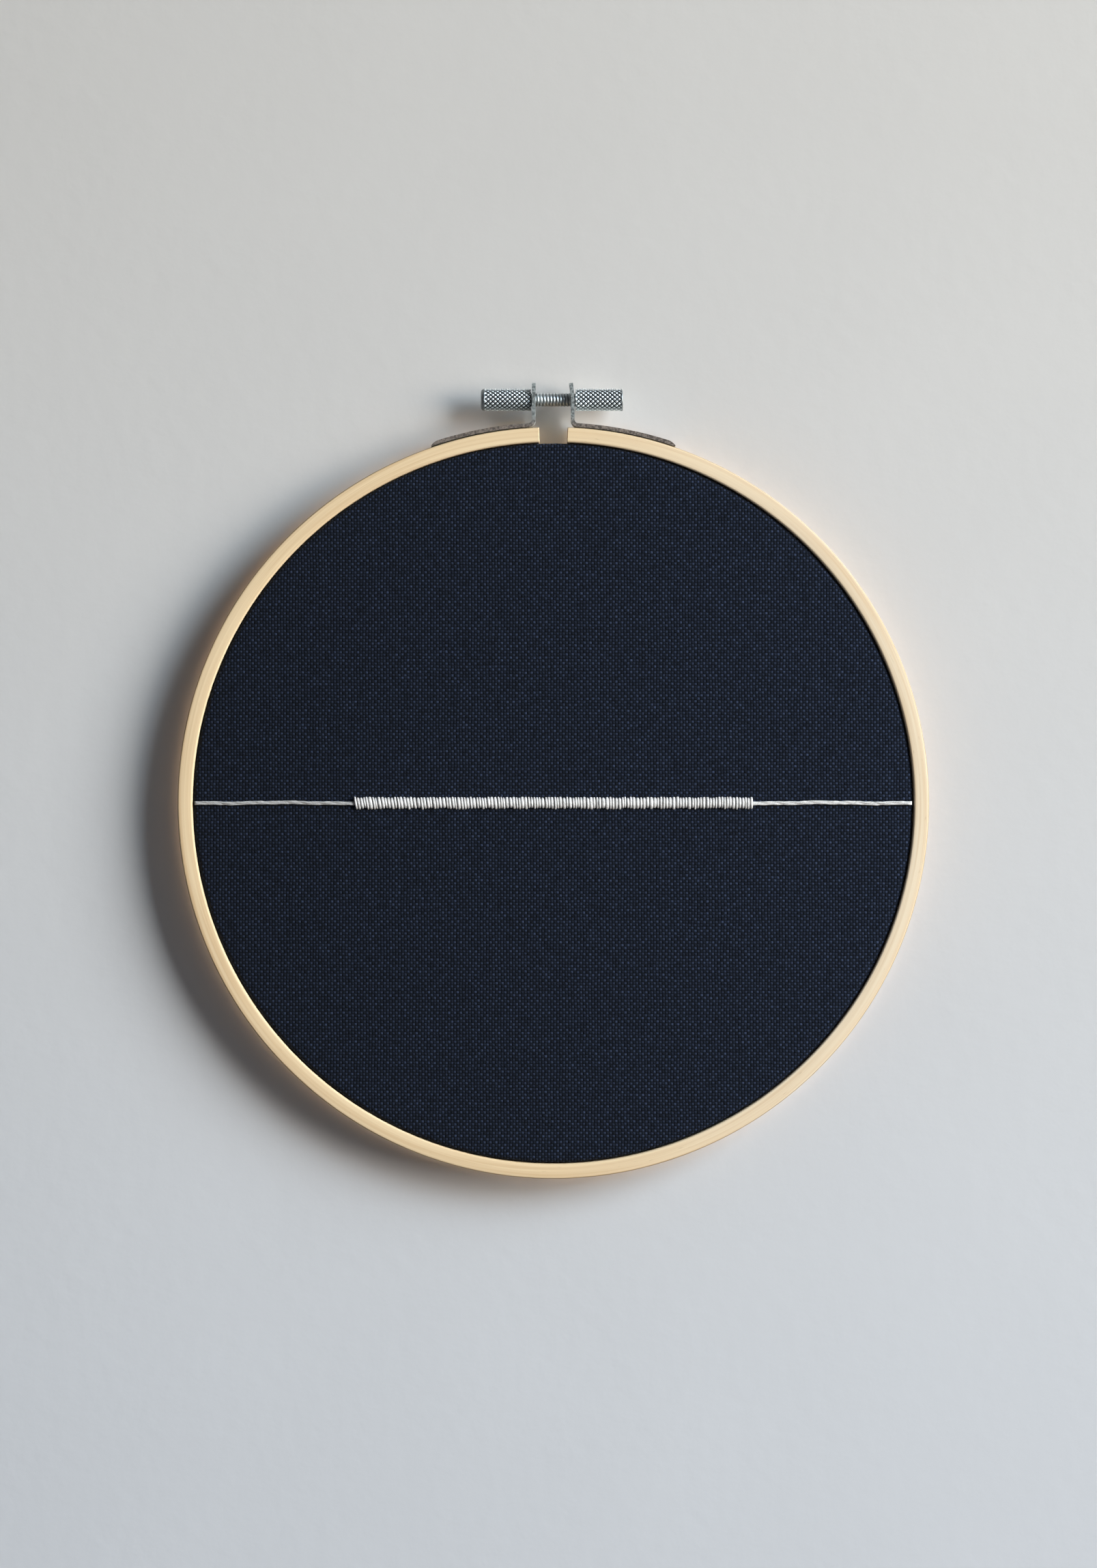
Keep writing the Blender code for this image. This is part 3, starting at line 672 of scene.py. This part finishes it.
class HOOP_OT_satin_stitches(bpy.types.Operator):
    """Sew the satin bar: about 130 stitches on the face, and the same thread on the back"""

    bl_idname = "hoop.satin_stitches"
    bl_label = "Satin Stitches"

    def execute(self, context):
        stitches = context.scene.hoop_stitches
        thickness = context.scene.hoop_linen.thickness
        rng = np.random.default_rng(11)
        look = stranded_cotton(stitches)
        back = LINEN_FRONT - thickness
        for name, node, low, high, floor, rise in (
            ("satin_stitches", "satin_bar", BAR_LOW, BAR_HIGH, LINEN_FRONT, -BAR_LOW.y - LINEN_FRONT),
            ("satin_back", "satin_reverse", REVERSE_LOW, REVERSE_HIGH, back, -REVERSE_HIGH.y - back),
        ):
            points, lay = satin_row(stitches, rng, low, high, floor, rise)
            faces = tube_faces(*points.shape[:3])
            tone = np.ones(points.shape[:3]) * rng.uniform(0.9, 1.0, len(points))[:, None, None]
            add_piece(context, name, points, faces, look, "thread", [node], lay=lay, tone=tone)
        return {"FINISHED"}


def laid_plies(stitches, rng, side, start, end, turn_radius, turn_at):
    """Two plies laid along x, one above the other, which follow the linen down over its shoulder at the rim.

    Each ply keeps to its side of the line's middle and rocks a little about it. Past the turn, the middle runs on a
    circle about the shoulder's centre, out by the same height as before.
    """
    run = np.arange(start, end, 0.25 * MM)
    radius = stitches.line / 2 * (1 if side > 0 else 0.95)
    past = np.clip(run - turn_at, 0, None)
    lift = turn_radius + radius
    swing = past / lift
    x = np.minimum(run, turn_at) + lift * np.sin(swing)
    out = LINEN_FRONT + radius - lift * (1 - np.cos(swing))
    phase = rng.uniform(0, TURN)
    wander = stitches.sway * (np.sin(TURN * run / (31 * MM) + phase) + 0.5 * np.sin(TURN * run / (11 * MM) + 2 * phase))
    rock = 0.5 * np.sin(TURN * run / stitches.ply_turn + phase) + 0.3 * np.sin(TURN * run / (23 * MM) + phase)
    plies = TURN / 4 + rock + np.array([[0.0], [TURN / 2]])
    # A ply is a little thicker than half the line, so the two press into each other
    ply = 0.57 * radius
    swell = 1 + 0.08 * np.sin(TURN * run / (3.1 * MM) + phase + np.array([[0.0], [2.0]]))
    off = radius - ply
    up = wander + off * np.sin(plies)
    lean = off * np.cos(plies)
    path = stand(side * (x + lean * np.sin(swing)), up, out + lean * np.cos(swing))
    around = 8
    angle = np.arange(around) * TURN / around
    outward = stand(side * np.sin(swing), -CENTRE_Z, np.cos(swing))
    upward = np.array([0.0, 0.0, 1.0])
    thick = (ply * swell)[..., None, None]
    points = (
        path[:, :, None]
        + thick * np.cos(angle)[:, None] * upward
        + thick * np.sin(angle)[:, None] * outward[None, :, None]
    )
    along = np.broadcast_to(run[:, None], points.shape[:3])
    turned = np.broadcast_to(angle / TURN, points.shape[:3])
    which = np.broadcast_to(np.array([1.0, 2.0])[:, None, None] * 3.1 + side, points.shape[:3])
    return points, np.stack([along, turned, which], axis=-1)


class HOOP_OT_thread_line(bpy.types.Operator):
    """Lay the two-ply thread from each end of the satin bar to the rim"""

    bl_idname = "hoop.thread_line"
    bl_label = "Thread Line"

    def execute(self, context):
        stitches = context.scene.hoop_stitches
        linen = context.scene.hoop_linen
        rng = np.random.default_rng(5)
        turn_at = LINEN_HIGH.x - linen.shoulder
        # The line starts 1.2 mm inside the bar, and ends 33 degrees round the linen's shoulder
        under = 1.2 * MM
        dive = math.radians(33) * (linen.shoulder + stitches.line / 2)
        sides = [
            laid_plies(stitches, rng, side, BAR_HIGH.x - under, turn_at + dive, linen.shoulder, turn_at)
            for side in (-1, 1)
        ]
        points = np.concatenate([s[0] for s in sides])
        lay = np.concatenate([s[1] for s in sides])
        look = bpy.data.materials["stranded cotton"]
        faces = tube_faces(*points.shape[:3])
        # Painted shade: the left end of the line is drawn darker than its right end
        tone = np.ones(points.shape[:3]) * np.array([0.56, 0.56, 0.9, 0.9])[:, None, None]
        replaced = ["line_left", "line_right"]
        add_piece(context, "thread_line", points, faces, look, "thread", replaced, lay=lay, tone=tone)
        return {"FINISHED"}


class HOOP_OT_clamp_strips(bpy.types.Operator):
    """Galvanise the two bent strips, which keep their solids' shape"""

    bl_idname = "hoop.clamp_strips"
    bl_label = "Clamp Strips"

    def execute(self, context):
        look = galvanised_strip(context.scene.hoop_clamp)
        for name in ("strip_left", "strip_right"):
            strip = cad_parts[name]
            strip.data.materials.clear()
            strip.data.materials.append(look)
        return {"FINISHED"}


def about_axis(x, radius, turns):
    """Points round the screw's axis, at radius and at a place in full turns."""
    return stand(x, AXIS_UP + radius * np.cos(TURN * turns), AXIS_OUT + radius * np.sin(TURN * turns))


def knurled_barrel(clamp, start, end, radius, rounded):
    """A barrel whose radius is drawn in by a diamond knurl: the lower of two opposite helical ridges.

    It starts at the ear and ends in a quarter circle of radius rounded. Gives the points and how near each is to a
    crest.
    """
    period = math.sqrt(2) * clamp.knurl
    starts = round(TURN * radius / period)
    way = math.copysign(1, end - start)
    # Eight points to a ridge, both round the barrel and along it
    around = starts * 8
    turns = np.arange(around) / around
    stop = abs(end - start) - rounded
    run = np.linspace(0, stop, round(stop / period * 8))
    bend = np.linspace(0, TURN / 4, 7)[1:]
    x = np.concatenate([run, stop + rounded * np.sin(bend)])
    base = np.concatenate([np.full(len(run), radius), radius - rounded * (1 - np.cos(bend))])
    # The knurl fades over its last quarter of a millimetre at each end
    strength = np.clip(np.minimum(x, stop - x) / (0.25 * MM), 0, 1)
    rows = x / period
    across = starts * turns
    one = np.abs(np.sin(math.pi * (across + rows[:, None])))
    other = np.abs(np.sin(math.pi * (across - rows[:, None])))
    crest = np.minimum(one, other)
    drawn_in = clamp.knurl_depth * strength[:, None] * (1 - crest)
    # Painted shade: the smooth ends get a low crest value, so their zinc is drawn darker
    smooth = 0.36 * (1 - strength[:, None])
    points = about_axis(start + way * x[:, None], base[:, None] - drawn_in, turns)
    return points[None], (crest * strength[:, None] + smooth)[None]


def threaded_rod(clamp, start, end):
    """A rod whose radius falls and rises as a triangle wave of the distance along it less the turn round it."""
    turns = np.arange(40) / 40
    x = np.linspace(start, end, round((end - start) / clamp.pitch * 10))
    wave = np.abs(2 * ((x[:, None] / clamp.pitch - turns) % 1) - 1)
    # Painted shade: the rod's crest value stays low, so its zinc is drawn darker than the knurls' crests
    crest = 0.33 + 0.13 * wave
    points = about_axis(x[:, None], clamp.rod - clamp.thread_depth * (1 - wave), turns)
    return points[None], crest[None]


class HOOP_OT_screw_and_nut(bpy.types.Operator):
    """Turn and knurl the screw's head and the nut, and cut the rod's thread"""

    bl_idname = "hoop.screw_and_nut"
    bl_label = "Screw and Nut"

    def execute(self, context):
        clamp = context.scene.hoop_clamp
        look = bright_zinc(clamp)
        radius = (NUT_HIGH.z - NUT_LOW.z) / 2
        ear_face = NUT_LOW.x
        head, head_crest = knurled_barrel(clamp, -ear_face, SCREW_LOW.x, radius, clamp.head_round)
        rod, rod_crest = threaded_rod(clamp, -ear_face - 0.5 * MM, SCREW_HIGH.x)
        points = np.concatenate([head.reshape(-1, 3), rod.reshape(-1, 3)])
        crest = np.concatenate([head_crest.ravel(), rod_crest.ravel()])
        faces = tube_faces(*head.shape[:3])
        faces += [[corner + head_crest.size for corner in face] for face in tube_faces(*rod.shape[:3])]
        add_piece(context, "knurled_screw", points, faces, look, "plated", ["screw"], crest=crest)

        outside, outside_crest = knurled_barrel(clamp, ear_face, NUT_HIGH.x, radius, clamp.nut_round)
        bore_radius = clamp.rod + 0.3 * MM
        turns = np.arange(outside.shape[2]) / outside.shape[2]
        bore = about_axis(np.array([[NUT_HIGH.x], [ear_face]]), bore_radius, turns)[None]
        points = np.concatenate([outside, bore], axis=1)
        crest = np.concatenate([outside_crest, np.full(bore.shape[:3], 0.5)], axis=1)
        faces = tube_faces(*points.shape[:3], loop=True)
        add_piece(context, "knurled_nut", points, faces, look, "plated", ["nut"], sharp=math.radians(50), crest=crest)
        return {"FINISHED"}


def add_light(context, name, place, size, power, tint):
    """A soft rectangular light at place, in metres from the hoop's centre, which faces the hoop. No camera sees it."""
    data = bpy.data.lights.new(name, "AREA")
    data.shape = "RECTANGLE"
    data.size, data.size_y = size
    data.energy = power
    data.color = tint
    data.spread = math.radians(70)
    light = bpy.data.objects.new(name, data)
    context.scene.collection.objects.link(light)
    light.location = Vector(place) + Vector((0, 0, CENTRE_Z))
    light.rotation_euler = Vector(place).to_track_quat("Z", "Y").to_euler()
    light.visible_camera = False


def add_plane(context, name, corners, look):
    """A plain face through four corners, which is part of the stage."""
    mesh = bpy.data.meshes.new(name)
    mesh.from_pydata(corners, [], [(0, 1, 2, 3)])
    mesh.materials.append(look)
    plane = bpy.data.objects.new(name, mesh)
    context.scene.collection.objects.link(plane)
    return plane


def room_light(context, stage):
    """The room's own light, cool from above and warm from below. The camera sees it as a pale, even backdrop."""
    world = bpy.data.worlds.new("room")
    context.scene.world = world
    world.use_nodes = True
    tree = world.node_tree
    background = tree.nodes["Background"]
    way = add_node(tree, "ShaderNodeTexCoord").outputs["Generated"]
    height = add_node(tree, "ShaderNodeSeparateXYZ", {0: way}).outputs["Z"]
    above = add_node(tree, "ShaderNodeMapRange", {"Value": height, "From Min": -0.3, "From Max": 0.7})
    lights = mix_colours(tree, above, opaque(stage.below), opaque((1.25, 1.35, 1.5)))
    straight = add_node(tree, "ShaderNodeLightPath").outputs["Is Camera Ray"]
    seen = mix_colours(tree, straight, lights, opaque(stage.backdrop))
    tree.links.new(seen, background.inputs["Color"])
    strength = add_node(tree, "ShaderNodeMapRange", {"Value": straight, "To Min": stage.fill})
    tree.links.new(strength.outputs[0], background.inputs["Strength"])


def window_light(context, stage):
    """A window to the right, whose upper part is cool with sky and whose lower part is warm, and a lamp behind."""
    across = WINDOW_FAR * math.cos(WINDOW_OFF_WALL)
    for name, rise, size, power, tint in (
        ("window sky", 28, (1.42, 1.15), 0.64 * stage.key, "DDF1FF"),
        ("window ground", 3, (1.25, 0.92), 0.36 * stage.key, "FFF8EC"),
    ):
        along = math.radians(rise)
        place = (across * math.cos(along), -WINDOW_FAR * math.sin(WINDOW_OFF_WALL), across * math.sin(along))
        add_light(context, name, place, size, power, hex_colour(tint))
    add_light(context, "behind", (1.1, 1.6, 1.0), (1.0, 1.0), 12.0, hex_colour("FFFBF5"))


def front_camera(context, stage):
    """A camera square to the wall, from where the hoop lies in its frame as in the reference picture's."""
    pixel = OUTER_HIGH.x / HOOP_RADIUS
    data = bpy.data.cameras.new("camera")
    data.lens = stage.lens
    data.sensor_width = 36.0
    data.clip_start, data.clip_end = 0.05, 50.0
    camera = bpy.data.objects.new("camera", data)
    context.scene.collection.objects.link(camera)
    distance = IMAGE_SIZE[1] * pixel * data.lens / data.sensor_width
    camera.location = (
        (IMAGE_SIZE[0] / 2 - HOOP_CENTRE[0]) * pixel,
        OUTER_LOW.y - distance,
        CENTRE_Z + (HOOP_CENTRE[1] - IMAGE_SIZE[1] / 2) * pixel,
    )
    camera.rotation_euler = (math.pi / 2, 0, 0)
    context.scene.camera = camera


class HOOP_OT_stage(bpy.types.Operator):
    """Set up the wall, the floor, the window light and the camera"""

    bl_idname = "hoop.stage"
    bl_label = "Stage"

    def execute(self, context):
        stage = context.scene.hoop_stage
        half, low, high, gap = 3.0, -2.0, 2.0, 0.2 * MM
        corners = [(-half, gap, low), (half, gap, low), (half, gap, high), (-half, gap, high)]
        wall = add_plane(context, "wall", corners, plastered_wall(stage))
        # Light from behind passes the wall, so that the hoop's back shows from there
        wall.visible_shadow = False
        deep = 20.0
        corners = [(-deep, -deep, low), (deep, -deep, low), (deep, deep, low), (-deep, deep, low)]
        add_plane(context, "floor", corners, plain_floor(stage))
        room_light(context, stage)
        window_light(context, stage)
        front_camera(context, stage)
        context.scene.view_settings.view_transform = "Standard"
        return {"FINISHED"}


class HOOP_PT_panel(bpy.types.Panel):
    """Lists the hoop's pieces, in the order in which they are made"""

    bl_idname = "HOOP_PT_panel"
    bl_label = "Embroidery Hoop"
    bl_space_type = "VIEW_3D"
    bl_region_type = "UI"
    bl_category = "Hoop"

    def draw(self, context):
        for title, group, operators in PARTS:
            box = self.layout.box()
            box.label(text=title)
            settings = getattr(context.scene, group)
            for name in settings.__annotations__:
                box.prop(settings, name)
            for operator in operators:
                box.operator(operator.bl_idname)


# Panel title, settings and operators, in the order of making
PARTS = (
    ("Wood", "hoop_wood", (HOOP_OT_rings,)),
    ("Stitches", "hoop_stitches", (HOOP_OT_satin_stitches, HOOP_OT_thread_line)),
    ("Linen", "hoop_linen", (HOOP_OT_linen,)),
    ("Clamp", "hoop_clamp", (HOOP_OT_clamp_strips, HOOP_OT_screw_and_nut)),
    ("Stage", "hoop_stage", (HOOP_OT_stage,)),
)
SETTINGS = {
    "hoop_wood": HoopWood,
    "hoop_linen": HoopLinen,
    "hoop_stitches": HoopStitches,
    "hoop_clamp": HoopClamp,
    "hoop_stage": HoopStage,
}
CLASSES = (*SETTINGS.values(), *(operator for _, _, operators in PARTS for operator in operators), HOOP_PT_panel)


def register():
    for made in CLASSES:
        bpy.utils.register_class(made)
    for name, group in SETTINGS.items():
        setattr(bpy.types.Scene, name, PointerProperty(type=group))


def unregister():
    for name in SETTINGS:
        delattr(bpy.types.Scene, name)
    for made in reversed(CLASSES):
        bpy.utils.unregister_class(made)


def main():
    """Makes every piece and the stage."""
    register()
    bpy.ops.hoop.rings()
    bpy.ops.hoop.satin_stitches()
    bpy.ops.hoop.thread_line()
    bpy.ops.hoop.linen()
    bpy.ops.hoop.clamp_strips()
    bpy.ops.hoop.screw_and_nut()
    bpy.ops.hoop.stage()


if __name__ == "__main__":
    main()
